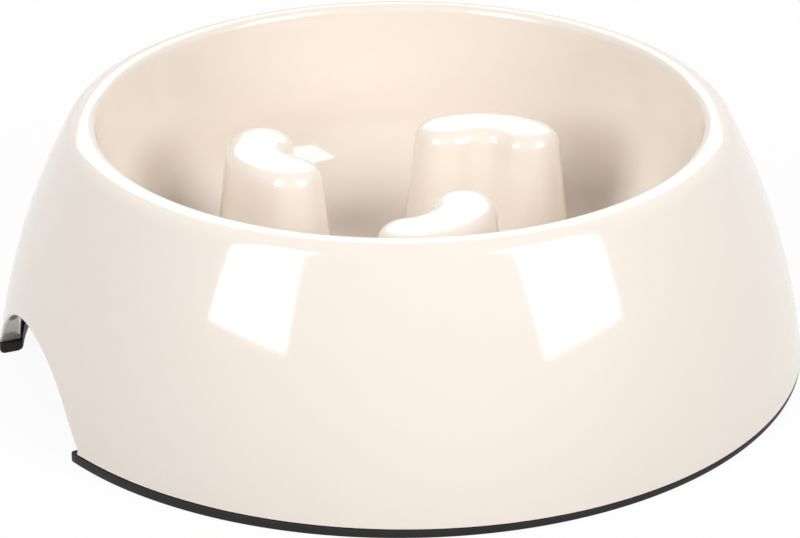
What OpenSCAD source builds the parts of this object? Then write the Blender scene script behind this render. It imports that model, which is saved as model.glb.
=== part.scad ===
// Slow feeder bowl: one moulded bowl with three bean-shaped pillars, standing on two rubber strips.
// Millimetres, +Z up. The origin is on the ground under the bowl's centre, and the two hand
// notches open along X.

/* [Bowl] */
// Diameter of the skirt at its lower edge
base_d = 220; // [200:1:240]
// Height of the rim over the ground
bowl_h = 67.4; // [62:0.1:74]
// Thickness of the moulded walls
wall_t = 4.5; // [3.5:0.1:5]

/* [Skirt and rim] */
// Radius of the skirt's gentle bulge, seen from the side
skirt_r = 183; // [165:1:215]
// Lean of the skirt at its lower edge, in degrees from upright
skirt_lean = 8.5; // [6:0.5:10]
// Thickness of the skirt at its lower edge, where it stands in the strips
foot_t = 5.6; // [5.3:0.1:6]
// Draft of the skirt's inner face over that edge, in degrees
foot_draft = 4; // [2:0.5:5]
// Round on the outside of the rim
rim_out_r = 6.4; // [5:0.1:7.5]
// Round on the inside of the rim
rim_in_r = 2.3; // [1.5:0.1:3]
// Flat on top of the rim, between its two rounds
rim_flat = 0.3; // [0.2:0.1:1]
// Round at the top of the hollow between skirt and basin
hollow_r = 2; // [1:0.1:2.5]

/* [Basin] */
// Height of the basin's floor over the ground
floor_z = 13; // [11:0.5:16]
// Bend between the basin's wall and its floor
bend_r = 24; // [18:1:28]
// Draft of the basin's wall, in degrees
basin_draft = 4; // [2:0.5:6]

/* [Pillars] */
// Number of pillars
pillar_count = 3; // [1:1:3]
// Height of a pillar's top over the ground
pillar_h = 52.3; // [44:0.1:56]
// Width of a pillar at its top, over the rounds
pillar_w = 17.7; // [16:0.1:19]
// Round along a pillar's top edge
pillar_round_r = 4.5; // [3:0.1:5]
// Round at the top of a pillar's hollow
pillar_core_r = 2; // [1:0.1:2.5]
// Blend between a pillar and the floor
pillar_foot_r = 4; // [2:0.1:4.5]
// Depth that this blend runs into the floor
pillar_sink = 0.1; // [0.1:0.05:0.2]
// Draft of a pillar's sides, in degrees
pillar_draft = 7; // [4:0.5:8]
// Radius of a pillar's bent centre line
pillar_arc_r = 18; // [17.5:0.1:21]
// Angle that the centre line bends through
pillar_arc = 77; // [50:1:90]
// Distance of each centre line's own centre from the bowl's axis
pillar_pitch_r = 25; // [24:0.1:27]
// Turn of each pillar about its centre line's centre, in degrees
pillar_twist = 55; // [45:1:65]
// Turn of the whole set about the bowl's axis, in degrees
pillar_phase = 3.4; // [0:0.1:119]

/* [Hand notches] */
// Height of a notch's top over the ground
notch_h = 23.5; // [20:0.1:27]
// Radius of a notch's arched top
notch_top_r = 36.5; // [30:0.5:40]
// Slope of a notch's straight flanks, in degrees
notch_flank = 47.5; // [43:0.5:52]
// Half the width of a notch between the skirt's feet
notch_foot_y = 34.4; // [32.5:0.1:35.5]

/* [Foot strips] */
// Height of the strips at the bowl's middle
strip_h = 2.6; // [2.5:0.1:4]
// Tilt of the strips' seat, in degrees: the strips are thicker at the left
seat_tilt = 0.44; // [0:0.02:0.5]
// Direction of the seat's high side, in degrees from +X
seat_turn = 156; // [90:1:180]
// Thickness of a strip's outer lip
lip_t = 1.2; // [0.8:0.1:1.5]
// Thickness of a strip's inner lip
inner_lip_t = 0.6; // [0.5:0.1:1]
// Depth of the skirt's edge in the strip's channel
channel_depth = 1.1; // [0.8:0.1:1.1]
// Rise of the inner lip over the seat
lip_rise = 0.5; // [0.4:0.1:2]
// Length of the closed cap at each end of the front strip
front_cap_t = 2.6; // [1:0.1:3]
// Length of the closed cap at each end of the rear strip
rear_cap_t = 1; // [1:0.1:3]
// Bevel on the lips' free edges
lip_bevel = 0.3; // [0.1:0.1:0.5]
// Groove left between the outer lip and the skirt
lip_gap = 0.3; // [0.1:0.1:0.3]
// Clearance between the lips and the skirt's edge
lip_clear = 0.05; // [0:0.05:0.1]

/* [Hidden] */
$fn = 144;
ivory = [0.95, 0.91, 0.85];
rubber = [0.17, 0.17, 0.18];

// Growth of each round past the sides that it joins, so that their edges cross
weld = 0.002;
// Reach of cuts past the bowl
overrun = 2;
// Overlap of a pillar's two half sweeps past its middle, in degrees
bean_lap = 7;
base_r = base_d / 2;
reach = base_r + bowl_h;

// Skirt: one arc in section, tangent to the rim's outer round
skirt_cx = base_r - skirt_r * cos(skirt_lean);
skirt_cz = strip_h - skirt_r * sin(skirt_lean);
rim_angle = asin((bowl_h - rim_out_r - skirt_cz) / (skirt_r - rim_out_r));
crest_r = skirt_cx + (skirt_r - rim_out_r) * cos(rim_angle);
rim_join_z = bowl_h - rim_out_r + rim_out_r * sin(rim_angle);

// Basin: a drafted wall from the rim's inner round down to the bend
basin_top_r = crest_r - rim_flat - rim_in_r * cos(basin_draft);
basin_top_z = bowl_h - rim_in_r + rim_in_r * sin(basin_draft);
bend_z = floor_z + bend_r;
bend_x = basin_wall_r(bend_z, 0) - bend_r / cos(basin_draft);

// Hollow between skirt and basin: the round that touches both of its walls
hollow_k = tan(basin_draft);
hollow_a = basin_wall_r(0, wall_t + hollow_r);
hollow_q = skirt_r - wall_t - hollow_r;
hollow_b = hollow_k * (hollow_a - skirt_cx) - skirt_cz;
hollow_c = pow(hollow_a - skirt_cx, 2) + pow(skirt_cz, 2) - pow(hollow_q, 2);
hollow_n = 1 + pow(hollow_k, 2);
hollow_z = (sqrt(pow(hollow_b, 2) - hollow_n * hollow_c) - hollow_b) / hollow_n;
hollow_x = hollow_a + hollow_k * hollow_z;
hollow_lean = atan2(hollow_z - skirt_cz, hollow_x - skirt_cx);
hollow_top_z = hollow_z + hollow_r * sin(hollow_lean);

// Pillars: half widths of the drafted side, and the two rounds in section
pillar_top_x = pillar_w / 2 - pillar_round_r;
pillar_top_z = pillar_h - pillar_round_r;
pillar_foot_z = floor_z - pillar_sink + pillar_foot_r;
pillar_foot_x = pillar_side(pillar_foot_z) + pillar_foot_r / cos(pillar_draft);
core_top_z = pillar_h - wall_t;
core_bend_z = core_top_z - pillar_core_r;
core_bend_x = core_side(core_bend_z) - pillar_core_r / cos(pillar_draft);

// Notches: straight flanks, tangent to the arched top
notch_bend_y = notch_top_r * sin(notch_flank);
notch_bend_z = notch_h - notch_top_r * (1 - cos(notch_flank));
notch_foot_z = notch_bend_z - (notch_foot_y - notch_bend_y) * tan(notch_flank);

// Foot strips: the outer lip lies in the skirt's rebate, the inner lip touches the skirt at its top
rebate_r = base_r - lip_t;
lip_top_z = strip_h + base_r * tan(seat_tilt) + lip_rise;
lip_face_r = foot_face_r(lip_top_z) - lip_clear;
strip_in_r = lip_face_r - inner_lip_t;

// Radius of the basin's wall at a height, grown outwards by a thickness
function basin_wall_r(z, grow) =
    basin_top_r - (basin_top_z - z) * tan(basin_draft) + grow / cos(basin_draft);

// Radius of the skirt's inner face at a height near its lower edge
function foot_face_r(z) = base_r - foot_t - (z - strip_h) * tan(foot_draft);

// Half width of a pillar's drafted side at a height
function pillar_side(z) =
    pillar_top_x + pillar_round_r / cos(pillar_draft) + (pillar_top_z - z) * tan(pillar_draft);

// The same side on the inside of the pillar's wall
function core_side(z) = pillar_side(z) - wall_t / cos(pillar_draft);

// An outline that is the same on both sides of the middle, from its right half, bottom to top
function both_sides(half) =
    concat(half, [for (i = [len(half) - 1 : -1 : 0]) [-half[i][0], half[i][1]]]);

// Everything inside the skirt's arc in section, inset by a thickness
module skirt_disc(inset) {
    translate([skirt_cx, skirt_cz])
        circle(r = skirt_r - inset);
}

// The bowl's outer form in section, filled to the axis
module outer_section() {
    intersection() {
        skirt_disc(0);
        square([reach, rim_join_z]);
    }
    translate([crest_r, bowl_h - rim_out_r])
        circle(r = rim_out_r + weld);
    square([crest_r, bowl_h]);
}

// The basin in section, grown outwards by a thickness
module basin_section(grow) {
    bend = bend_r + grow;
    polygon([
        [0, floor_z - grow],
        [bend_x, floor_z - grow],
        [bend_x + bend * cos(basin_draft), bend_z - bend * sin(basin_draft)],
        [basin_wall_r(basin_top_z, grow), basin_top_z],
        [crest_r - rim_flat + grow, basin_top_z],
        [crest_r - rim_flat + grow, bowl_h + overrun],
        [0, bowl_h + overrun]
    ]);
    translate([bend_x, bend_z])
        circle(r = bend + weld);
}

// The basin's open space, with the rim's inner round left standing
module basin_space() {
    difference() {
        basin_section(0);
        translate([crest_r - rim_flat, bowl_h - rim_in_r])
            circle(r = rim_in_r + weld);
    }
}

// The hollow under the bowl, from the ground up to the round between skirt and basin
module hollow_section() {
    difference() {
        intersection() {
            skirt_disc(wall_t);
            polygon([
                [0, -overrun],
                [foot_face_r(-overrun), -overrun],
                [foot_face_r(hollow_top_z), hollow_top_z],
                [hollow_x + hollow_r * cos(hollow_lean), hollow_top_z],
                [hollow_x, hollow_z],
                [hollow_x - hollow_r * cos(basin_draft), hollow_z + hollow_r * sin(basin_draft)],
                [0, hollow_z + hollow_r * sin(basin_draft)]
            ]);
        }
        basin_section(wall_t);
    }
    translate([hollow_x, hollow_z])
        circle(r = hollow_r + weld);
}

// Skirt, rim and basin in section: one wall that folds over at the rim
module shell_section() {
    difference() {
        outer_section();
        basin_space();
        hollow_section();
    }
}

// The strips' seat: children are drawn about it, tilted with it
module on_seat() {
    translate([0, 0, strip_h])
        rotate([0, 0, seat_turn])
            rotate([0, -seat_tilt, 0])
                children();
}

// A pillar in section, from inside the floor to the rounded top
module pillar_section() {
    difference() {
        union() {
            polygon(both_sides([
                [pillar_foot_x, floor_z - wall_t / 2],
                [pillar_foot_x, floor_z - pillar_sink],
                [
                    pillar_foot_x - pillar_foot_r * cos(pillar_draft),
                    pillar_foot_z - pillar_foot_r * sin(pillar_draft)
                ],
                [
                    pillar_top_x + pillar_round_r * cos(pillar_draft),
                    pillar_top_z + pillar_round_r * sin(pillar_draft)
                ],
                [pillar_top_x, pillar_top_z],
                [pillar_top_x, pillar_h]
            ]));
            for (side = [-1, 1])
                translate([side * pillar_top_x, pillar_top_z])
                    circle(r = pillar_round_r + weld);
        }
        for (side = [-1, 1])
            translate([side * pillar_foot_x, pillar_foot_z])
                circle(r = pillar_foot_r + weld);
    }
}

// The hollow inside a pillar in section, open at the bottom
module core_section() {
    polygon(both_sides([
        [core_side(0), 0],
        [
            core_bend_x + pillar_core_r * cos(pillar_draft),
            core_bend_z + pillar_core_r * sin(pillar_draft)
        ],
        [core_bend_x, core_bend_z],
        [core_bend_x, core_top_z]
    ]));
    for (side = [-1, 1])
        translate([side * core_bend_x, core_bend_z])
            circle(r = pillar_core_r + weld);
}

// One half of a bean: the section in child 0 swept from the bean's end past its middle, with a round end
module half_bean() {
    rotate([0, 0, -pillar_arc / 2]) {
        rotate_extrude(angle = pillar_arc / 2 + bean_lap)
            translate([pillar_arc_r, 0])
                children();
        translate([pillar_arc_r, 0, 0])
            rotate([0, 0, 180])
                rotate_extrude(angle = 180)
                    intersection() {
                        children();
                        square([pillar_arc_r, pillar_h]);
                    }
    }
}

// A whole bean, from two halves that overlap at the middle
module bean() {
    half_bean()
        children();
    mirror([0, 1, 0])
        half_bean()
            children();
}

// The pillars' places round the bowl's axis
module each_pillar() {
    for (i = [0 : pillar_count - 1])
        rotate([0, 0, pillar_phase + i * 360 / pillar_count])
            translate([pillar_pitch_r, 0, 0])
                rotate([0, 0, pillar_twist])
                    children();
}

// Outline of a notch, seen along its axis
module notch_outline() {
    polygon(both_sides([
        [notch_foot_y, -overrun],
        [notch_foot_y, notch_foot_z],
        [notch_bend_y, notch_bend_z]
    ]));
    translate([0, notch_h - notch_top_r])
        circle(r = notch_top_r + weld);
}

// The two notches, each cut through the skirt and not into the basin
module notches() {
    for (side = [0, 180])
        rotate([0, 0, side])
            translate([crest_r, 0, 0])
                rotate([90, 0, 90])
                    linear_extrude(height = reach - crest_r)
                        notch_outline();
}

// The space that the strips' pads and outer lips take under the skirt
module skirt_rebate() {
    on_seat() {
        translate([-reach, -reach, -reach - channel_depth])
            cube([2 * reach, 2 * reach, reach]);
        rotate_extrude()
            translate([rebate_r, -reach])
                square([reach, reach]);
    }
}

module bowl_body() {
    color(ivory)
        difference() {
            union() {
                difference() {
                    rotate_extrude()
                        shell_section();
                    skirt_rebate();
                }
                each_pillar()
                    bean()
                        pillar_section();
            }
            each_pillar()
                bean()
                    core_section();
            notches();
        }
}

// The space over a strip in section, about the seat: the channel, and all that lies over its two lips
module over_strip_section() {
    polygon([
        [strip_in_r - overrun, lip_rise - lip_bevel - overrun],
        [strip_in_r + lip_bevel, lip_rise],
        [lip_face_r, lip_rise],
        [lip_face_r, -channel_depth],
        [rebate_r + lip_clear, -channel_depth],
        [rebate_r + lip_clear, -lip_gap],
        [base_r - lip_bevel, -lip_gap],
        [base_r + overrun, -lip_gap - lip_bevel - overrun],
        [base_r + overrun, bowl_h],
        [strip_in_r - overrun, bowl_h]
    ]);
}

// A band of the strips' width, from a distance off the notches' axis on: side 0 is the front, 1 the rear
module strip_band(side, y) {
    difference() {
        rotate_extrude()
            translate([strip_in_r, 0])
                square([base_r - strip_in_r, floor_z]);
        mirror([0, 1 - side, 0])
            translate([-reach, y - 2 * reach, -overrun])
                cube([2 * reach, 2 * reach, bowl_h]);
    }
}

// Everything over a height about the seat
module over_seat(height) {
    on_seat()
        translate([-reach, -reach, height])
            cube(2 * reach);
}

// The strip on one side of the notches: its pad, its closed caps in the notches, and its lips
module foot_strip(side, cap_t) {
    color(rubber) {
        difference() {
            strip_band(side, notch_foot_y - cap_t);
            over_seat(-channel_depth - lip_gap);
        }
        intersection() {
            difference() {
                strip_band(side, notch_foot_y - cap_t);
                over_seat(0);
            }
            notches();
        }
        difference() {
            strip_band(side, notch_foot_y - cap_t / 2);
            on_seat()
                rotate_extrude()
                    over_strip_section();
        }
    }
}

module front_foot_strip() {
    foot_strip(0, front_cap_t);
}

module rear_foot_strip() {
    foot_strip(1, rear_cap_t);
}

bowl_body();
front_foot_strip();
rear_foot_strip();
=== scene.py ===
"""Slow feeder bowl: a moulded bowl with three bean-shaped pillars, on two rubber foot strips."""

import logging
import math
from collections.abc import Iterable
from dataclasses import dataclass, field
from enum import Enum
from typing import Any

import bmesh
import bpy
from mathutils import Matrix, Vector


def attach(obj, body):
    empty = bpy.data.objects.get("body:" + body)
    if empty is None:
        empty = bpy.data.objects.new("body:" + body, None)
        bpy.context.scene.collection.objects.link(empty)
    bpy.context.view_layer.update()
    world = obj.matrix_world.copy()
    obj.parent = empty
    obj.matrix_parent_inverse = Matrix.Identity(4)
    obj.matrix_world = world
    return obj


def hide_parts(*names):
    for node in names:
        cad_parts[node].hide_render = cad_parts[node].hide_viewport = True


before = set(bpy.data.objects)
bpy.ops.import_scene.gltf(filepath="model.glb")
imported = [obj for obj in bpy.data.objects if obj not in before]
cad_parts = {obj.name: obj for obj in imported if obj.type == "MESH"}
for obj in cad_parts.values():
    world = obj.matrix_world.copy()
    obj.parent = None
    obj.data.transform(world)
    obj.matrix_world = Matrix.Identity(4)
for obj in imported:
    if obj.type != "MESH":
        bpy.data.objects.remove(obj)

LOG = logging.getLogger("bowl")
# The meshes are built in millimetres, and as_piece turns them into metres.
MM = 0.001
# A vertex counts as on a line or a face when it is no further from it than this.
CLOSE = 0.01
FULL_TURN = 360.0
HALVINGS = 60
SHARP_ANGLE = 38.0
Point = tuple[float, float]
Colour = tuple[float, float, float, float]
WHITE: Colour = (1.0, 1.0, 1.0, 1.0)


class Skin(Enum):
    """The two faces of the skirt's wall."""

    OUTER = 0
    INNER = 1


def arc(centre: Point, radius: float, start: float, end: float, steps: int) -> list[Point]:
    """Points along a circular arc in section.

    Args:
        centre: Centre of the arc, as radius and height.
        radius: Radius of the arc.
        start: Angle of the first point, in degrees from outward.
        end: Angle of the last point, in degrees.
        steps: Number of equal steps.

    Returns:
        The points, first to last.
    """
    angles = [math.radians(start + (end - start) * i / steps) for i in range(steps + 1)]
    return [(centre[0] + radius * math.cos(a), centre[1] + radius * math.sin(a)) for a in angles]


def line(first: Point, last: Point, steps: int) -> list[Point]:
    """Points along a straight line, without its two ends."""
    return [
        (first[0] + (last[0] - first[0]) * i / steps, first[1] + (last[1] - first[1]) * i / steps)
        for i in range(1, steps)
    ]


def chain(mesh: bmesh.types.BMesh, points: Iterable[Point], closed: bool = False) -> list[Any]:
    """A line of edges in the XZ plane.

    Args:
        mesh: Mesh to add to.
        points: Radius and height of each vertex.
        closed: Whether the last vertex joins the first.

    Returns:
        The new vertices and edges.
    """
    verts = [mesh.verts.new((x, 0.0, z)) for x, z in points]
    edges = [mesh.edges.new(pair) for pair in zip(verts, verts[1:])]
    if closed:
        edges.append(mesh.edges.new((verts[-1], verts[0])))
    return verts + edges


def revolve(
    mesh: bmesh.types.BMesh, section: list[Any], start: float, angle: float, steps: int
) -> None:
    """Turn a section about Z, from one azimuth on.

    Args:
        mesh: Mesh that holds the section.
        section: Vertices and edges of the section.
        start: Azimuth of the first copy, in degrees.
        angle: Angle to turn through, in degrees.
        steps: Number of steps.
    """
    verts = [part for part in section if isinstance(part, bmesh.types.BMVert)]
    turn = Matrix.Rotation(math.radians(start), 3, "Z")
    bmesh.ops.rotate(mesh, verts=verts, cent=(0, 0, 0), matrix=turn)
    bmesh.ops.spin(
        mesh,
        geom=section,
        cent=(0, 0, 0),
        axis=(0, 0, 1),
        angle=math.radians(angle),
        steps=steps,
        use_merge=abs(angle) >= FULL_TURN,
    )


def join(mesh: bmesh.types.BMesh, other: bmesh.types.BMesh) -> None:
    """Move a mesh into another one, and free it.

    Args:
        mesh: Mesh to add to.
        other: Mesh to move, which is freed.
    """
    data = bpy.data.meshes.new("joined")
    other.to_mesh(data)
    other.free()
    mesh.from_mesh(data)
    bpy.data.meshes.remove(data)


def as_piece(
    mesh: bmesh.types.BMesh, name: str, finish: bpy.types.Material, node: str
) -> bpy.types.Object:
    """Turn a mesh in millimetres into a piece that stands for a CAD node.

    Args:
        mesh: The finished mesh, which is freed.
        name: Name of the piece.
        finish: Material of the piece.
        node: CAD node that it stands for.

    Returns:
        The new object.
    """
    bmesh.ops.scale(mesh, vec=(MM, MM, MM), verts=mesh.verts)
    bmesh.ops.recalc_face_normals(mesh, faces=mesh.faces)
    data = bpy.data.meshes.new(name)
    mesh.to_mesh(data)
    mesh.free()
    data.shade_smooth()
    data.set_sharp_from_angle(angle=math.radians(SHARP_ANGLE))
    piece = bpy.data.objects.new(name, data)
    bpy.context.scene.collection.objects.link(piece)
    data.materials.append(finish)
    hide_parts(node)
    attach(piece, "root")
    LOG.info("%s: %d faces", name, len(data.polygons))
    return piece


@dataclass(frozen=True)
class Socket:
    """A socket of a shader, with Python's operators for its maths."""

    shader: "Shader"
    link: Any

    def or_more(self, other: "Socket | float") -> "Socket":
        """The greater of two values."""
        return self._with("MAXIMUM", other)

    def _with(self, operation: str, other: "Socket | float") -> "Socket":
        """This socket and another value in one Math node."""
        return self.shader.node("ShaderNodeMath", {"operation": operation}, {0: self, 1: other})

    def _from(self, operation: str, other: float) -> "Socket":
        """A number and this socket in one Math node."""
        return self.shader.node("ShaderNodeMath", {"operation": operation}, {0: other, 1: self})

    def __add__(self, other: "Socket | float") -> "Socket":
        """Sum."""
        return self._with("ADD", other)

    def __radd__(self, other: float) -> "Socket":
        """Sum, with the number first."""
        return self._from("ADD", other)

    def __mul__(self, other: "Socket | float") -> "Socket":
        """Product."""
        return self._with("MULTIPLY", other)

    def __rmul__(self, other: float) -> "Socket":
        """Product, with the number first."""
        return self._from("MULTIPLY", other)


@dataclass(frozen=True)
class Grain:
    """A noise pattern: cells to a metre, octaves, and strength of each finer octave."""

    scale: float
    detail: float
    roughness: float


class Shader:
    """The node tree of one material or world, built node by node."""

    def __init__(
        self, name: str, tree: Any = None, output: str = "ShaderNodeOutputMaterial"
    ) -> None:
        """Start an empty tree.

        Args:
            name: Name of the material, where one is made.
            tree: Tree of the world, or None for a new material.
            output: Blender's type name of the output node.
        """
        if tree is None:
            self.material = bpy.data.materials.new(name)
            self.material.use_nodes = True
            tree = self.material.node_tree
        self.tree = tree
        self.tree.nodes.clear()
        self.output = self.tree.nodes.new(output)

    def node(
        self,
        kind: str,
        settings: dict[str, Any] | None = None,
        sockets: dict[int | str, Any] | None = None,
        out: int | str = 0,
    ) -> Socket:
        """Make a node, with its settings first and its sockets after.

        Args:
            kind: Blender's type name of the node.
            settings: Settings by name.
            sockets: Values or sockets by the input's name or place.
            out: Name or place of the output to return.

        Returns:
            The wrapped output.
        """
        made = self.tree.nodes.new(kind)
        for key, value in (settings or {}).items():
            setattr(made, key, value)
        for key, value in (sockets or {}).items():
            if isinstance(value, Socket):
                self.tree.links.new(value.link, made.inputs[key])
            else:
                made.inputs[key].default_value = value
        return Socket(self, made.outputs[out])

    def place(self, kind: str = "Object") -> Socket:
        """Coordinates of the surface, or the direction where the tree is a world's."""
        return self.node("ShaderNodeTexCoord", out=kind)

    def seen_or_mirrored(self) -> Socket:
        """1 for what the camera sees straight or through a reflection or glass, else 0."""
        camera, mirrored, through = (
            self.node("ShaderNodeLightPath", out=f"Is {kind} Ray")
            for kind in ("Camera", "Glossy", "Transmission")
        )
        return camera.or_more(mirrored).or_more(through)

    def noise(self, grain: Grain) -> Socket:
        """A noise field over the object, from 0 to 1."""
        return self.node(
            "ShaderNodeTexNoise",
            {"noise_dimensions": "3D"},
            {
                "Vector": self.place(),
                "Scale": grain.scale,
                "Detail": grain.detail,
                "Roughness": grain.roughness,
            },
        )

    def between(self, value: Socket, found: Point, wanted: Point = (0.0, 1.0)) -> Socket:
        """Map a range of a value onto another range, held at both ends.

        Args:
            value: The value.
            found: The range that it is taken from.
            wanted: The range that it is mapped onto.

        Returns:
            The mapped value.
        """
        low, high = found
        first, last = wanted
        return self.node(
            "ShaderNodeMapRange",
            {"clamp": True},
            {"Value": value, "From Min": low, "From Max": high, "To Min": first, "To Max": last},
        )

    def mix(self, factor: Socket, first: Colour, last: Colour) -> Socket:
        """Mix two colours by a factor."""
        colours = {0: factor, 6: first, 7: last}
        return self.node("ShaderNodeMix", {"data_type": "RGBA"}, colours, out=2)

    def finish(self, sockets: dict[str, Any]) -> bpy.types.Material:
        """Close the tree with a Principled shader.

        Args:
            sockets: Values or sockets of the Principled shader.

        Returns:
            The material.
        """
        self.close(self.node("ShaderNodeBsdfPrincipled", {}, sockets))
        return self.material

    def close(self, shader: Socket) -> None:
        """Link the last shader to the output."""
        self.tree.links.new(shader.link, self.output.inputs["Surface"])


@dataclass(frozen=True)
class IvoryMelamine:
    """Glossy moulded melamine: even colour, faint flow marks, fine wipe marks in the gloss."""

    colour: Colour = (0.868, 0.792, 0.717, 1.0)
    tint: Colour = (0.858, 0.778, 0.696, 1.0)
    gloss: Point = (0.07, 0.1)
    ior: float = 1.55
    flow: Grain = Grain(9.0, 3.0, 0.55)
    flow_range: Point = (0.35, 0.65)
    wipes: Grain = Grain(55.0, 5.0, 0.6)
    wipe_range: Point = (0.4, 0.75)
    ripple: Grain = Grain(28.0, 2.0, 0.4)
    pores: Grain = Grain(900.0, 2.0, 0.5)
    pore_share: float = 0.05
    bump: float = 0.05
    depth: float = 0.001

    def material(self) -> bpy.types.Material:
        """The finish as a material.

        Returns:
            The material.
        """
        shader = Shader("ivory_melamine")
        flow = shader.between(shader.noise(self.flow), self.flow_range)
        wipes = shader.between(shader.noise(self.wipes), self.wipe_range, self.gloss)
        ripple = shader.noise(self.ripple) + self.pore_share * shader.noise(self.pores)
        relief = {"Strength": self.bump, "Distance": self.depth, "Height": ripple}
        return shader.finish(
            {
                "Base Color": shader.mix(flow, self.colour, self.tint),
                "Roughness": wipes,
                "IOR": self.ior,
                "Normal": shader.node("ShaderNodeBump", {}, relief),
            }
        )


@dataclass(frozen=True)
class FootRubber:
    """Matt black rubber: fine grain, with a little dust rubbed into it."""

    colour: Colour = (0.012, 0.011, 0.011, 1.0)
    dusty: Colour = (0.02, 0.018, 0.017, 1.0)
    roughness: Point = (0.5, 0.7)
    ior: float = 1.5
    sheen: float = 0.25
    dust: Grain = Grain(120.0, 6.0, 0.65)
    dust_range: Point = (0.45, 0.75)
    grain: Grain = Grain(2600.0, 3.0, 0.6)
    bump: float = 0.25
    depth: float = 0.0003

    def material(self) -> bpy.types.Material:
        """The finish as a material.

        Returns:
            The material.
        """
        shader = Shader("foot_rubber")
        dust = shader.between(shader.noise(self.dust), self.dust_range)
        grain = shader.noise(self.grain)
        relief = {"Strength": self.bump, "Distance": self.depth, "Height": grain}
        return shader.finish(
            {
                "Base Color": shader.mix(dust, self.colour, self.dusty),
                "Roughness": shader.between(dust, (0.0, 1.0), self.roughness),
                "IOR": self.ior,
                "Specular IOR Level": self.sheen,
                "Normal": shader.node("ShaderNodeBump", {}, relief),
            }
        )


@dataclass
class Seat:
    """The plane under the skirt in which the foot strips sit: a little higher on one side."""

    height: float = 2.6
    tilt: float = 0.44
    turn: float = 156.0
    channel: float = 1.1

    def at(self, x: float, y: float) -> float:
        """Height of the seat over a point on the ground."""
        turn, rise = math.radians(self.turn), math.tan(math.radians(self.tilt))
        return self.height + rise * (x * math.cos(turn) + y * math.sin(turn))


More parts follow.
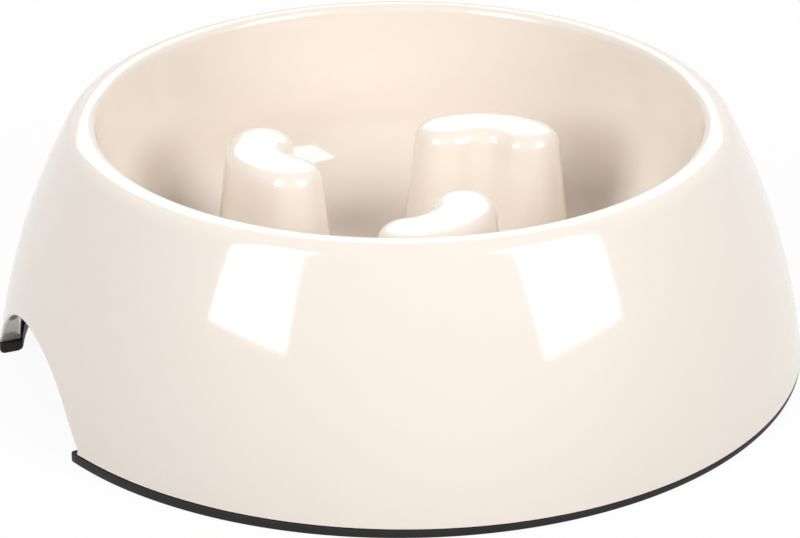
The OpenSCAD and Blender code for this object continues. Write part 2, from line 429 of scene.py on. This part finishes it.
@dataclass
class Skirt:
    """The skirt's two bulged skins, and the hand notches cut through them.

    The skirt's own vertices lie outside inner_limit and below fade_top. A notch is notch_columns
    wide on each side of its middle, and the columns beside it take fade_columns to even out. In a
    notch the two edges of the foot's step lie at step_shares of the wall, counted from outside.
    """

    base_r: float = 110.0
    wall: float = 4.5
    bulge_r: float = 183.0
    lean: float = 8.5
    rebate_r: float = 108.8
    foot: float = 5.6
    foot_draft: float = 4.0
    notch_top: float = 23.5
    notch_r: float = 36.5
    notch_flank: float = 47.5
    notch_foot: float = 34.4
    notch_columns: int = 13
    fade_columns: int = 7
    fade_top: float = 44.0
    inner_limit: float = 90.0
    step_shares: Point = (0.44, 0.54)
    seat: Seat = field(default_factory=Seat)

    def centre(self) -> Point:
        """Centre of the bulge in section."""
        cos, sin = math.cos(math.radians(self.lean)), math.sin(math.radians(self.lean))
        return self.base_r - self.bulge_r * cos, self.seat.height - self.bulge_r * sin

    def radius(self, height: float, skin: Skin) -> float:
        """Radius of a skin at a height.

        Args:
            height: The height.
            skin: The skin.

        Returns:
            The radius, which on the inside is the thicker foot's where that is less.
        """
        centre_r, centre_z = self.centre()
        bulge = self.bulge_r - (self.wall if skin is Skin.INNER else 0.0)
        ring = centre_r + math.sqrt(bulge**2 - (height - centre_z) ** 2)
        return ring if skin is Skin.OUTER else min(ring, self.foot_face(height))

    def foot_face(self, height: float) -> float:
        """Radius of the skirt's thicker foot on its inside, at a height."""
        drop = (height - self.seat.height) * math.tan(math.radians(self.foot_draft))
        return self.base_r - self.foot - drop

    def notch(self, across: float) -> float:
        """Height of a notch's outline.

        Args:
            across: Distance from the notch's middle.

        Returns:
            The height, on the arch or on the straight flank below it.
        """
        flank = math.radians(self.notch_flank)
        bend = self.notch_r * math.sin(flank)
        if abs(across) < bend:
            return self.notch_top - self.notch_r + math.sqrt(self.notch_r**2 - across**2)
        bend_z = self.notch_top - self.notch_r * (1 - math.cos(flank))
        return bend_z - (abs(across) - bend) * math.tan(flank)

    def shape(self, mesh: bmesh.types.BMesh, columns: int) -> None:
        """Bend the revolved skirt's columns to the notches and its foot to the tilted seat.

        Args:
            mesh: The revolved bowl.
            columns: Number of columns round the bowl.
        """
        step = FULL_TURN / columns
        for vert in mesh.verts:
            radius = math.hypot(vert.co.x, vert.co.y)
            if radius < self.inner_limit or vert.co.z > self.fade_top:
                continue
            side = math.copysign(1.0, vert.co.x)
            column = round(math.degrees(math.atan2(vert.co.y, abs(vert.co.x))) / step)
            vert.co = self._moved(radius, vert.co.z, side, column, step)

    def _moved(
        self, radius: float, height: float, side: float, column: int, step: float
    ) -> Vector:
        """New place of one vertex of the skirt.

        Args:
            radius: Its radius before.
            height: Its height before.
            side: 1 or -1 for the notch that is nearer.
            column: Its column, counted from that notch's middle.
            step: Angle between two columns, in degrees.

        Returns:
            Its new place.
        """
        seat = self.seat
        outside = radius > self.radius(height, Skin.OUTER) - self.wall / 2
        skin = Skin.OUTER if outside else Skin.INNER
        sunk = 0.0 if outside else seat.channel
        notched = abs(column) <= self.notch_columns
        natural = math.radians(column * step)
        if notched:
            floor = max(self.notch(self._across(column)), 0.0)
        else:
            foot = self.base_r
            floor = seat.at(side * foot * math.cos(natural), foot * math.sin(natural)) - sunk
        if abs(radius - self.rebate_r) < CLOSE and height < seat.height + CLOSE:
            on_step = height > seat.height - CLOSE
            if notched:
                return self._step_in_notch(self._across(column), floor, side, on_step)
            share, level = 0.0, floor - (0.0 if on_step else seat.channel)
            ring = self.rebate_r
        else:
            low = seat.height - sunk
            share = (height - low) / (self.fade_top - low)
            level = floor + share * (self.fade_top - floor)
            ring = self.radius(level, skin)
        angle = self._azimuth(column, step, ring, share)
        return Vector((side * ring * math.cos(angle), ring * math.sin(angle), level))

    def _across(self, column: int) -> float:
        """Distance of a column's foot from the notch's middle, no more than the notch's own."""
        return self.notch_foot * max(-1.0, min(1.0, column / self.notch_columns))

    def _step_in_notch(self, across: float, floor: float, side: float, on_step: bool) -> Vector:
        """Place in a notch of an edge of the foot's step, which runs out into the cut there.

        Args:
            across: Distance from the notch's middle.
            floor: Height of the notch's outline there.
            side: 1 or -1 for the notch.
            on_step: Whether it is the step's upper edge.

        Returns:
            The place.
        """
        outer = math.sqrt(self.radius(floor, Skin.OUTER) ** 2 - across**2)
        inner = math.sqrt(self.radius(floor, Skin.INNER) ** 2 - across**2)
        share = self.step_shares[0 if on_step else 1]
        return Vector((side * (outer + (inner - outer) * share), across, floor))

    def _azimuth(self, column: int, step: float, ring: float, share: float) -> float:
        """Azimuth of a vertex: the notch's at its foot, its column's own at the top.

        Args:
            column: Its column, counted from the notch's middle.
            step: Angle between two columns, in degrees.
            ring: Its radius.
            share: 0 at the skirt's foot, 1 where the skirt isn't bent any more.

        Returns:
            The azimuth in radians, counted from the notch's middle.
        """
        natural, beside = math.radians(column * step), self.notch_columns + 1
        if abs(column) <= beside:
            foot = math.asin(self._across(column) / ring)
        else:
            edge = math.asin(self.notch_foot / ring) - math.radians(beside * step)
            fade = max(0.0, 1.0 - (abs(column) - beside) / self.fade_columns)
            foot = natural + math.copysign(edge * fade, column)
        ease = share * share * (3 - 2 * share)
        return foot + (natural - foot) * ease


@dataclass
class Pillars:
    """The three bean-shaped pillars, hollow from below."""

    count: int = 3
    top: float = 52.3
    half_width: float = 8.85
    round_r: float = 4.5
    foot_r: float = 4.0
    core_r: float = 2.0
    draft: float = 7.0
    arc_r: float = 18.0
    arc: float = 77.0
    pitch_r: float = 25.0
    twist: float = 55.0
    phase: float = 3.4
    wall: float = 4.5
    floor: float = 13.0
    sweep_steps: int = 30
    end_steps: int = 30
    blend_steps: int = 8
    side_steps: int = 7
    crown_steps: int = 12
    top_steps: int = 3
    core_steps: int = 5
    merge: float = 0.002
    sliver: float = 0.0001

    def half(self, height: float) -> float:
        """Half width of the drafted side.

        Args:
            height: The height.

        Returns:
            The half width there.
        """
        draft = math.radians(self.draft)
        top_x, top_z = self.half_width - self.round_r, self.top - self.round_r
        return top_x + self.round_r / math.cos(draft) + (top_z - height) * math.tan(draft)

    def outside(self) -> list[Point]:
        """Half section of the outside, from the foot's blend to the middle of the top.

        Returns:
            The points.
        """
        foot_z = self.floor + self.foot_r
        foot_x = self.half(foot_z) + self.foot_r / math.cos(math.radians(self.draft))
        top = (self.half_width - self.round_r, self.top - self.round_r)
        middle = (0.0, self.top)
        blend = arc((foot_x, foot_z), self.foot_r, 270.0, 180.0 + self.draft, self.blend_steps)
        crown = arc(top, self.round_r, self.draft, 90.0, self.crown_steps)
        side = line(blend[-1], crown[0], self.side_steps)
        return blend + side + crown + line(crown[-1], middle, self.top_steps) + [middle]

    def inside(self) -> list[Point]:
        """Half section of the hollow, from the floor's underside to the middle of its top.

        Returns:
            The points.
        """
        lean = math.cos(math.radians(self.draft))
        cut = self.wall / lean
        low, top = self.floor - self.wall, self.top - self.wall
        bend_z = top - self.core_r
        bend_x = self.half(bend_z) - cut - self.core_r / lean
        crown = arc((bend_x, bend_z), self.core_r, self.draft, 90.0, self.core_steps)
        start = (self.half(low) - cut, low)
        return [start] + line(start, crown[0], self.core_steps) + crown + [(0.0, top)]

    def bean(self, section: list[Point]) -> bmesh.types.BMesh:
        """A bean swept from a half section along the bent centre line.

        Args:
            section: The half section, from its foot to its middle.

        Returns:
            A new mesh, about the centre line's own centre.
        """
        mesh = bmesh.new()
        for side in (1, -1):
            row = chain(mesh, [(self.arc_r + side * x, z) for x, z in section])
            revolve(mesh, row, -self.arc / 2, self.arc, self.sweep_steps)
        for side in (1, -1):
            end = bmesh.new()
            revolve(end, chain(end, section), 0.0, side * FULL_TURN / 2, self.end_steps)
            turn = Matrix.Rotation(math.radians(side * self.arc / 2), 4, "Z")
            place = turn @ Matrix.Translation((self.arc_r, 0, 0))
            bmesh.ops.transform(end, matrix=place, verts=end.verts)
            join(mesh, end)
        bmesh.ops.remove_doubles(mesh, verts=mesh.verts, dist=self.merge)
        bmesh.ops.dissolve_degenerate(mesh, edges=mesh.edges, dist=self.sliver)
        return mesh

    def add_to(self, bowl: bmesh.types.BMesh) -> None:
        """Put all the pillars, with their hollows, into the bowl's mesh.

        Args:
            bowl: The bowl's mesh.
        """
        for section in (self.outside(), self.inside()):
            for i in range(self.count):
                bean = self.bean(section)
                place = (
                    Matrix.Rotation(math.radians(self.phase + i * FULL_TURN / self.count), 4, "Z")
                    @ Matrix.Translation((self.pitch_r, 0, 0))
                    @ Matrix.Rotation(math.radians(self.twist), 4, "Z")
                )
                bmesh.ops.transform(bean, matrix=place, verts=bean.verts)
                join(bowl, bean)


@dataclass
class Bowl:
    """The moulded bowl: skirt, rim, basin and pillars in one piece.

    The floor is filled inside fill_r, and its underside inside under_r, and cut into a grid, whose
    lines stand grid_shift beside the middle so that they miss the wall's own vertices. The plays
    are how far from their heights and radii the vertices of the floor's outlines are looked for.
    """

    height: float = 67.4
    rim_out_r: float = 6.4
    rim_in_r: float = 2.3
    rim_flat: float = 0.3
    hollow_r: float = 2.0
    floor: float = 13.0
    bend_r: float = 24.0
    draft: float = 4.0
    fill_r: float = 60.5
    under_r: float = 57.0
    columns: int = 256
    grid: float = 3.0
    grid_shift: float = 0.017
    floor_play: float = 2.5
    blend_play: float = 0.5
    ring_play: float = 0.05
    outer_edge: float = 1.0
    inner_edge: float = 1.5
    edge_steps: int = 5
    bend_steps: int = 26
    wall_steps: int = 10
    rim_in_steps: int = 9
    rim_out_steps: int = 14
    outside_steps: int = 34
    inside_steps: int = 26
    crook_steps: int = 8
    hollow_steps: int = 6
    under_steps: int = 16
    merge: float = 0.0005
    skirt: Skirt = field(default_factory=Skirt)
    pillars: Pillars = field(default_factory=Pillars)

    def __post_init__(self) -> None:
        """Work out the places that the sections share."""
        centre_r, centre_z = self.skirt.centre()
        inner = self.skirt.bulge_r - self.rim_out_r
        self.rim_angle = math.degrees(math.asin((self.height - self.rim_out_r - centre_z) / inner))
        self.crest_r = centre_r + inner * math.cos(math.radians(self.rim_angle))
        draft = math.radians(self.draft)
        self.wall_top = (
            self.crest_r - self.rim_flat - self.rim_in_r * math.cos(draft),
            self.height - self.rim_in_r + self.rim_in_r * math.sin(draft),
        )
        bend_z = self.floor + self.bend_r
        self.bend = (self.basin(bend_z, 0.0) - self.bend_r / math.cos(draft), bend_z)

    def basin(self, height: float, grow: float) -> float:
        """Radius of the basin's wall at a height, grown outwards by a thickness.

        Args:
            height: The height.
            grow: The thickness.

        Returns:
            The radius.
        """
        draft, drop = math.radians(self.draft), self.wall_top[1] - height
        return self.wall_top[0] - drop * math.tan(draft) + grow / math.cos(draft)

    def rise(self, radius: float) -> float:
        """Height of the bend over the flat floor at a radius."""
        out = max(0.0, radius - self.bend[0])
        return self.bend_r - math.sqrt(self.bend_r**2 - out**2)

    def hollow(self) -> tuple[Point, float]:
        """The round between skirt and basin, found by halving between the floor and the rim.

        Returns:
            Its centre, and its lean to the skirt's side in degrees.
        """
        wall, r = self.skirt.wall, self.hollow_r
        centre_r, centre_z = self.skirt.centre()
        reach = self.skirt.bulge_r - wall - r
        low, high = self.floor, self.height
        for _ in range(HALVINGS):
            mid = (low + high) / 2
            if math.hypot(self.basin(mid, wall + r) - centre_r, mid - centre_z) < reach:
                low = mid
            else:
                high = mid
        x = self.basin(low, wall + r)
        return (x, low), math.degrees(math.atan2(low - centre_z, x - centre_r))

    def section(self) -> list[Point]:
        """The wall's whole section, from the basin's floor over the rim and back under it.

        Returns:
            The points.
        """
        skirt, seat, draft = self.skirt, self.skirt.seat, self.draft
        centre, wall = skirt.centre(), skirt.wall
        start = math.degrees(math.acos((self.fill_r - self.bend[0]) / self.bend_r))
        bend = arc(self.bend, self.bend_r, -start, -draft, self.bend_steps)
        inner_crest = (self.crest_r - self.rim_flat, self.height - self.rim_in_r)
        inner_round = arc(inner_crest, self.rim_in_r, 180.0 - draft, 90.0, self.rim_in_steps)
        crest = (self.crest_r, self.height - self.rim_out_r)
        outer_round = arc(crest, self.rim_out_r, 90.0, self.rim_angle, self.rim_out_steps)
        outside = arc(centre, skirt.bulge_r, self.rim_angle, skirt.lean, self.outside_steps)
        foot_z, inside_r = seat.height - seat.channel, skirt.bulge_r - wall
        foot = math.degrees(math.asin((foot_z - centre[1]) / inside_r))
        hollow, lean = self.hollow()
        inside = arc(centre, inside_r, foot, lean, self.inside_steps)
        crook = arc(hollow, self.hollow_r, lean, 180.0 - draft, self.crook_steps)
        under_bend = self.bend_r + wall
        under_start = math.degrees(math.acos((self.under_r - self.bend[0]) / under_bend))
        under = arc(self.bend, under_bend, -draft, -under_start, self.under_steps)
        return (
            bend
            + line(bend[-1], inner_round[0], self.wall_steps)
            + inner_round
            + outer_round
            + outside[1:]
            + [(skirt.rebate_r, seat.height), (skirt.rebate_r, foot_z)]
            + inside
            + crook[1:]
            + line(crook[-1], under[0], self.hollow_steps)
            + under
        )

    def fill(self, mesh: bmesh.types.BMesh, height: float, up: float) -> None:
        """Close the floor between the wall's last ring and the pillars' outlines.

        Args:
            mesh: The bowl's mesh.
            height: Height of the open edges.
            up: 1 for the basin's floor, -1 for its underside.
        """
        rim = [
            edge
            for edge in mesh.edges
            if edge.is_boundary and all(abs(v.co.z - height) < self.floor_play for v in edge.verts)
        ]
        made = bmesh.ops.triangle_fill(
            mesh, use_beauty=True, use_dissolve=False, edges=rim, normal=(0, 0, up)
        )
        faces = [part for part in made["geom"] if isinstance(part, bmesh.types.BMFace)]
        limit = int(self.fill_r // self.grid)
        for axis in (Vector((1, 0, 0)), Vector((0, 1, 0))):
            for i in range(-limit, limit + 1):
                edges = {edge for face in faces for edge in face.edges}
                verts = {vert for face in faces for vert in face.verts}
                cut = bmesh.ops.bisect_plane(
                    mesh,
                    geom=faces + list(edges) + list(verts),
                    dist=self.merge,
                    plane_co=axis * (i * self.grid + self.grid_shift),
                    plane_no=axis,
                )
                faces = [part for part in cut["geom"] if isinstance(part, bmesh.types.BMFace)]
        if up > 0:
            for vert in {vert for face in faces for vert in face.verts}:
                vert.co.z = self.floor + self.rise(math.hypot(vert.co.x, vert.co.y))

    def lift_blends(self, mesh: bmesh.types.BMesh) -> None:
        """Lift the blends at the pillars' feet to the bend, where they reach out over it.

        Args:
            mesh: The bowl's mesh.
        """
        blend = self.pillars.foot_r
        for vert in mesh.verts:
            radius = math.hypot(vert.co.x, vert.co.y)
            over = vert.co.z - self.floor
            if -self.blend_play < over < blend and radius < self.fill_r - self.ring_play:
                vert.co.z += self.rise(radius) * ((blend - over) / blend) ** 2

    def round_notches(self, mesh: bmesh.types.BMesh) -> None:
        """Round the edges of the notches, the outer ones less than the inner ones.

        Args:
            mesh: The bowl's mesh.
        """
        for skin, width in ((Skin.OUTER, self.outer_edge), (Skin.INNER, self.inner_edge)):
            bmesh.ops.bevel(
                mesh,
                geom=[e for e in mesh.edges if all(self._on_notch(v.co, skin) for v in e.verts)],
                offset=width,
                offset_type="OFFSET",
                segments=self.edge_steps,
                profile=0.5,
                affect="EDGES",
                material=-1,
                clamp_overlap=True,
            )

    def _on_notch(self, place: Vector, skin: Skin) -> bool:
        """Whether a point lies on a notch's outline and on a skin.

        Args:
            place: The point.
            skin: The skin.

        Returns:
            Whether it does.
        """
        skirt = self.skirt
        if abs(place.y) > skirt.notch_foot + CLOSE or place.z > skirt.notch_top + CLOSE:
            return False
        if abs(place.z - skirt.notch(place.y)) > CLOSE:
            return False
        return abs(math.hypot(place.x, place.y) - skirt.radius(place.z, skin)) < 2 * CLOSE

    def build(self, finish: bpy.types.Material) -> bpy.types.Object:
        """Build the whole bowl.

        Args:
            finish: The bowl's material.

        Returns:
            The bowl.
        """
        mesh = bmesh.new()
        revolve(mesh, chain(mesh, self.section()), 0.0, FULL_TURN, self.columns)
        self.skirt.shape(mesh, self.columns)
        self.pillars.add_to(mesh)
        self.lift_blends(mesh)
        bmesh.ops.remove_doubles(mesh, verts=mesh.verts, dist=self.merge)
        self.fill(mesh, self.floor, 1.0)
        self.fill(mesh, self.floor - self.skirt.wall, -1.0)
        self.round_notches(mesh)
        return as_piece(mesh, "moulded_bowl", finish, "bowl_body")


@dataclass
class FootStrip:
    """One rubber strip: a channel round the skirt's edge, with a closed, rounded cap at each end.

    It is revolved from one first_azimuth to the other, and its columns are then moved: the first
    ones to the cap, the others round the bowl at middle_r. The section's corners in upper_corners
    follow the tilted seat. Near its ends the strip is cut square to the notch, and that fades out
    between the two azimuths of square_fade. The cap's rounder feet fade out over soft_columns. Its
    end is rounded by cap_round: how far along the round, and how much of the inset is left there.
    """

    name: str
    node: str
    front: bool
    cap: float
    edge: float
    cap_soft: float
    out_r: float = 110.0
    middle_r: float = 107.0
    cap_r: float = 102.0
    inner_lip: float = 0.6
    clear: float = 0.05
    gap: float = 0.3
    lip_rise: float = 0.5
    soft: float = 0.3
    chamfer: float = 0.3
    cap_lift: float = 0.6
    cap_round: tuple[Point, ...] = ((0.0, 1.0), (0.1, 0.56), (0.38, 0.22), (1.0, 0.0))
    seam: float = 0.04
    foot_y: float = 34.4
    steps: int = 150
    first_azimuth: float = 20.0
    soft_columns: int = 6
    upper_corners: range = range(4, 14)
    square_fade: Point = (25.0, 45.0)
    merge: float = 0.001
    sliver: float = 0.0005
    seat: Seat = field(default_factory=Seat)
    skirt: Skirt = field(default_factory=Skirt)

    def __post_init__(self) -> None:
        """Work out the radii of the inner lip, and the place and inset of each cap's column."""
        rise = self.out_r * math.tan(math.radians(self.seat.tilt))
        lip_top = self.seat.height + rise + self.lip_rise
        self.face_r = self.skirt.foot_face(lip_top) - self.clear
        self.in_r = self.face_r - self.inner_lip
        end = self.foot_y - self.cap
        self.caps = [(end + self.edge * along, self.edge * left) for along, left in self.cap_round]
        self.caps.append((self.foot_y - self.seam, 0.0))

    def section(self, low_soft: float) -> list[Point]:
        """The channel's closed section, anticlockwise from the ground at the inside.

        Args:
            low_soft: Round of the two lower corners.

        Returns:
            Sixteen points.
        """
        seat, soft = self.seat.height, self.soft
        low, lip = seat - self.seat.channel, seat + self.lip_rise
        outer, top = self.skirt.rebate_r + self.clear, seat - self.gap
        low_cut, cut = low_soft * self.chamfer, soft * self.chamfer
        return [
            (self.in_r + low_soft, 0.0),
            (self.out_r - low_soft, 0.0),
            (self.out_r - low_cut, low_cut),
            (self.out_r, low_soft),
            (self.out_r, top - soft),
            (self.out_r - cut, top - cut),
            (self.out_r - soft, top),
            (outer, top),
            (outer, low),
            (self.face_r, low),
            (self.face_r, lip),
            (self.in_r + soft, lip),
            (self.in_r + cut, lip - cut),
            (self.in_r, lip - soft),
            (self.in_r, low_soft),
            (self.in_r + low_cut, low_cut),
        ]

    def capped(self, inset: float) -> list[Point]:
        """A closed cap's section, point for point like the channel's.

        Args:
            inset: Inset of its sides and top, for the round at the cap's end.

        Returns:
            Sixteen points.
        """
        left, right, top = self.in_r + inset, self.out_r - inset, self.seat.height - inset
        lift, low, soft = inset * self.cap_lift, self.cap_soft, 2 * self.soft
        low_cut, cut = low * self.chamfer, soft * self.chamfer
        return [
            (left + low, lift),
            (right - low, lift),
            (right - low_cut, lift + low_cut),
            (right, lift + low),
            (right, top - soft),
            (right - cut, top - cut),
            (right - soft, top),
            (right - 1.5 * soft, top),
            (right - 1.6 * soft, top),
            (left + 1.6 * soft, top),
            (left + 1.5 * soft, top),
            (left + soft, top),
            (left + cut, top - cut),
            (left, top - soft),
            (left, lift + low),
            (left + low_cut, lift + low_cut),
        ]

    def _moved(self, corner: int, column: int, x_sign: float) -> Vector:
        """Place of one vertex of the strip.

        Args:
            corner: Its place in the section.
            column: Its column, counted from the nearer end.
            x_sign: 1 at the right end, -1 at the left one.

        Returns:
            The place.
        """
        y_sign, middle, count = (-1.0 if self.front else 1.0), self.middle_r, len(self.caps)
        if column < count:
            across, inset = self.caps[column]
            radius, height = self.capped(inset)[corner]
            azimuth = math.asin(across / middle)
            seat = self.seat.at(x_sign * self.cap_r, y_sign * self.foot_y)
        else:
            first = math.asin(self.foot_y / middle)
            share = (column - count) / (self.steps / 2 - count)
            azimuth = first + (math.pi / 2 - first) * share
            across = middle * math.sin(azimuth)
            rounder = max(0.0, 1.0 - (column - count) / self.soft_columns)
            low_soft = self.soft + (self.cap_soft - self.soft) * rounder
            radius, height = self.section(low_soft)[corner]
            seat = self.seat.at(x_sign * middle * math.cos(azimuth), y_sign * across)
        if corner in self.upper_corners:
            height += seat - self.seat.height
        near, far = (math.radians(angle) for angle in self.square_fade)
        square = max(0.0, min(1.0, (far - azimuth) / (far - near)))
        angle = math.asin(min(1.0, across / radius)) * square + azimuth * (1.0 - square)
        x, y = x_sign * math.cos(angle), y_sign * math.sin(angle)
        return Vector((radius * x, radius * y, height))

    def build(self, finish: bpy.types.Material) -> bpy.types.Object:
        """Build the strip.

        Args:
            finish: The strip's material.

        Returns:
            The strip.
        """
        mesh = bmesh.new()
        corners = mesh.verts.layers.int.new("corner")
        ring = chain(mesh, self.section(self.soft), closed=True)
        for i, vert in enumerate(part for part in ring if isinstance(part, bmesh.types.BMVert)):
            vert[corners] = i
        half, first = FULL_TURN / 2, self.first_azimuth
        span = half - 2 * first
        revolve(mesh, ring, half + first if self.front else first, span, self.steps)
        step = span / self.steps
        for vert in mesh.verts:
            azimuth = math.degrees(math.atan2(abs(vert.co.y), abs(vert.co.x)))
            column = round((azimuth - first) / step)
            vert.co = self._moved(vert[corners], column, math.copysign(1.0, vert.co.x))
        bmesh.ops.holes_fill(mesh, edges=[e for e in mesh.edges if e.is_boundary], sides=0)
        bmesh.ops.remove_doubles(mesh, verts=mesh.verts, dist=self.merge)
        bmesh.ops.dissolve_degenerate(mesh, edges=mesh.edges, dist=self.sliver)
        return as_piece(mesh, self.name, finish, self.node)


@dataclass(frozen=True)
class Glow:
    """A broad, soft light from one side of the room."""

    azimuth: float
    elevation: float
    strength: float

    def strengths(self, shader: Shader, direction: Socket) -> Socket:
        """Strength of the glow in each direction: most at its middle, none from a right angle on.

        Args:
            shader: The world's shader.
            direction: The direction looked in.

        Returns:
            The strength.
        """
        azimuth, elevation = math.radians(self.azimuth), math.radians(self.elevation)
        flat = math.cos(elevation)
        middle = (flat * math.cos(azimuth), flat * math.sin(azimuth), math.sin(elevation))
        dot = {"operation": "DOT_PRODUCT"}
        facing = shader.node("ShaderNodeVectorMath", dot, {0: direction, 1: middle}, out=1)
        facing = shader.between(facing, (0.0, 1.0))
        return self.strength * (facing * facing)


@dataclass(frozen=True)
class SoftBox:
    """A rectangular lamp beside or behind the bowl, in degrees, metres and watts."""

    name: str
    azimuth: float
    distance: float
    height: float
    aim_height: float
    size: Point
    power: float

    def build(self) -> None:
        """Set up the lamp, aimed at the bowl's axis."""
        data = bpy.data.lights.new(self.name, "AREA")
        data.shape = "RECTANGLE"
        data.size, data.size_y = self.size
        data.energy = self.power
        lamp = bpy.data.objects.new(self.name, data)
        turn = Matrix.Rotation(math.radians(self.azimuth), 3, "Z")
        spot = turn @ Vector((self.distance, 0, self.height))
        aim = (Vector((0, 0, self.aim_height)) - spot).to_track_quat("-Z", "Y")
        lamp.matrix_world = Matrix.Translation(spot) @ aim.to_matrix().to_4x4()
        bpy.context.scene.collection.objects.link(lamp)


@dataclass
class Studio:
    """Camera, lamps, floor and background."""

    target_z: float = 20.163
    distance: float = 767.22
    azimuth: float = -113.65
    elevation: float = 25.242
    roll: float = -0.186
    lens: float = 126.0
    sensor: float = 36.0
    clip_start: float = 0.01
    glows: tuple[Glow, ...] = (
        Glow(66.35, 15.0, 0.6),
        Glow(66.35, 50.0, 0.12),
        Glow(156.35, 15.0, 0.05),
        Glow(-23.65, 15.0, 0.06),
    )
    boxes: tuple[SoftBox, ...] = (
        SoftBox("left_box", -157.8, 1.2, 0.945, 0.945, (0.52, 1.23), 17.2),
        SoftBox("right_box", -60.5, 1.2, 0.74, 0.03, (0.66, 0.98), 14.2),
        SoftBox("backdrop", 67.5, 2.0, 1.95, 1.95, (2.65, 2.26), 41.0),
    )
    floor_r: float = 4.0
    floor_segments: int = 96
    floor_colour: Colour = (0.46, 0.46, 0.46, 1.0)
    floor_shadow: float = 0.14
    floor_glow: float = 1.08

    def _axes(self) -> tuple[Vector, Vector, Vector]:
        """The camera's axes.

        Returns:
            Its right, up and back directions.
        """
        azimuth, elevation = math.radians(self.azimuth), math.radians(self.elevation)
        flat = math.cos(elevation)
        back = Vector((flat * math.cos(azimuth), flat * math.sin(azimuth), math.sin(elevation)))
        right = Vector((-math.sin(azimuth), math.cos(azimuth), 0.0))
        up = back.cross(right)
        roll = math.radians(self.roll)
        return (
            right * math.cos(roll) + up * math.sin(roll),
            up * math.cos(roll) - right * math.sin(roll),
            back,
        )

    def camera(self) -> None:
        """Set up the camera where the photograph was taken."""
        right, up, back = self._axes()
        data = bpy.data.cameras.new("camera")
        data.lens = self.lens
        data.sensor_width = self.sensor
        data.clip_start = self.clip_start
        camera = bpy.data.objects.new("camera", data)
        turn = Matrix((right, up, back)).transposed().to_4x4()
        place = Vector((0, 0, self.target_z)) + back * self.distance
        camera.matrix_world = Matrix.Translation(place * MM) @ turn
        bpy.context.scene.collection.objects.link(camera)
        bpy.context.scene.camera = camera

    def world(self) -> None:
        """White to the camera and in reflections, a few soft glows of light on the rest."""
        world = bpy.data.worlds.new("studio")
        bpy.context.scene.world = world
        world.use_nodes = True
        shader = Shader("studio", world.node_tree, "ShaderNodeOutputWorld")
        direction = shader.place("Generated")
        ambient = self.glows[0].strengths(shader, direction)
        for glow in self.glows[1:]:
            ambient = ambient + glow.strengths(shader, direction)
        seen = shader.seen_or_mirrored()
        kind = "ShaderNodeBackground"
        white = shader.node(kind, {}, {"Color": WHITE, "Strength": 1.0})
        soft = shader.node(kind, {}, {"Color": WHITE, "Strength": ambient})
        shader.close(shader.node("ShaderNodeMixShader", {}, {0: seen, 1: soft, 2: white}))

    def floor(self) -> None:
        """A plain pale floor, close to white to the camera but for the bowl's soft shadow."""
        mesh = bmesh.new()
        bmesh.ops.create_circle(
            mesh, cap_ends=True, radius=self.floor_r, segments=self.floor_segments
        )
        data = bpy.data.meshes.new("floor")
        mesh.to_mesh(data)
        mesh.free()
        floor = bpy.data.objects.new("floor", data)
        bpy.context.scene.collection.objects.link(floor)
        shader, mix = Shader("pale_floor"), "ShaderNodeMixShader"
        lit = shader.node("ShaderNodeBsdfDiffuse", {}, {"Color": self.floor_colour})
        white = {"Color": WHITE, "Strength": self.floor_glow}
        glow = shader.node("ShaderNodeEmission", {}, white)
        pale = shader.node(mix, {}, {0: self.floor_shadow, 1: glow, 2: lit})
        shader.close(shader.node(mix, {}, {0: shader.seen_or_mirrored(), 1: lit, 2: pale}))
        data.materials.append(shader.material)

    def build(self) -> None:
        """Set up everything that isn't the object."""
        self.camera()
        self.world()
        self.floor()
        for box in self.boxes:
            box.build()
        bpy.context.scene.view_settings.view_transform = "Standard"


def main() -> None:
    """Build the bowl, its strips and the studio."""
    logging.basicConfig(level=logging.INFO)
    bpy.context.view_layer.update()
    melamine, rubber = IvoryMelamine().material(), FootRubber().material()
    Studio().build()
    Bowl().build(melamine)
    front = FootStrip(
        "front_strip", "front_foot_strip", front=True, cap=2.6, edge=0.45, cap_soft=0.5
    )
    rear = FootStrip(
        "rear_strip", "rear_foot_strip", front=False, cap=1.0, edge=0.8, cap_soft=1.1
    )
    for strip in (front, rear):
        strip.build(rubber)


if __name__ == "__main__":
    main()
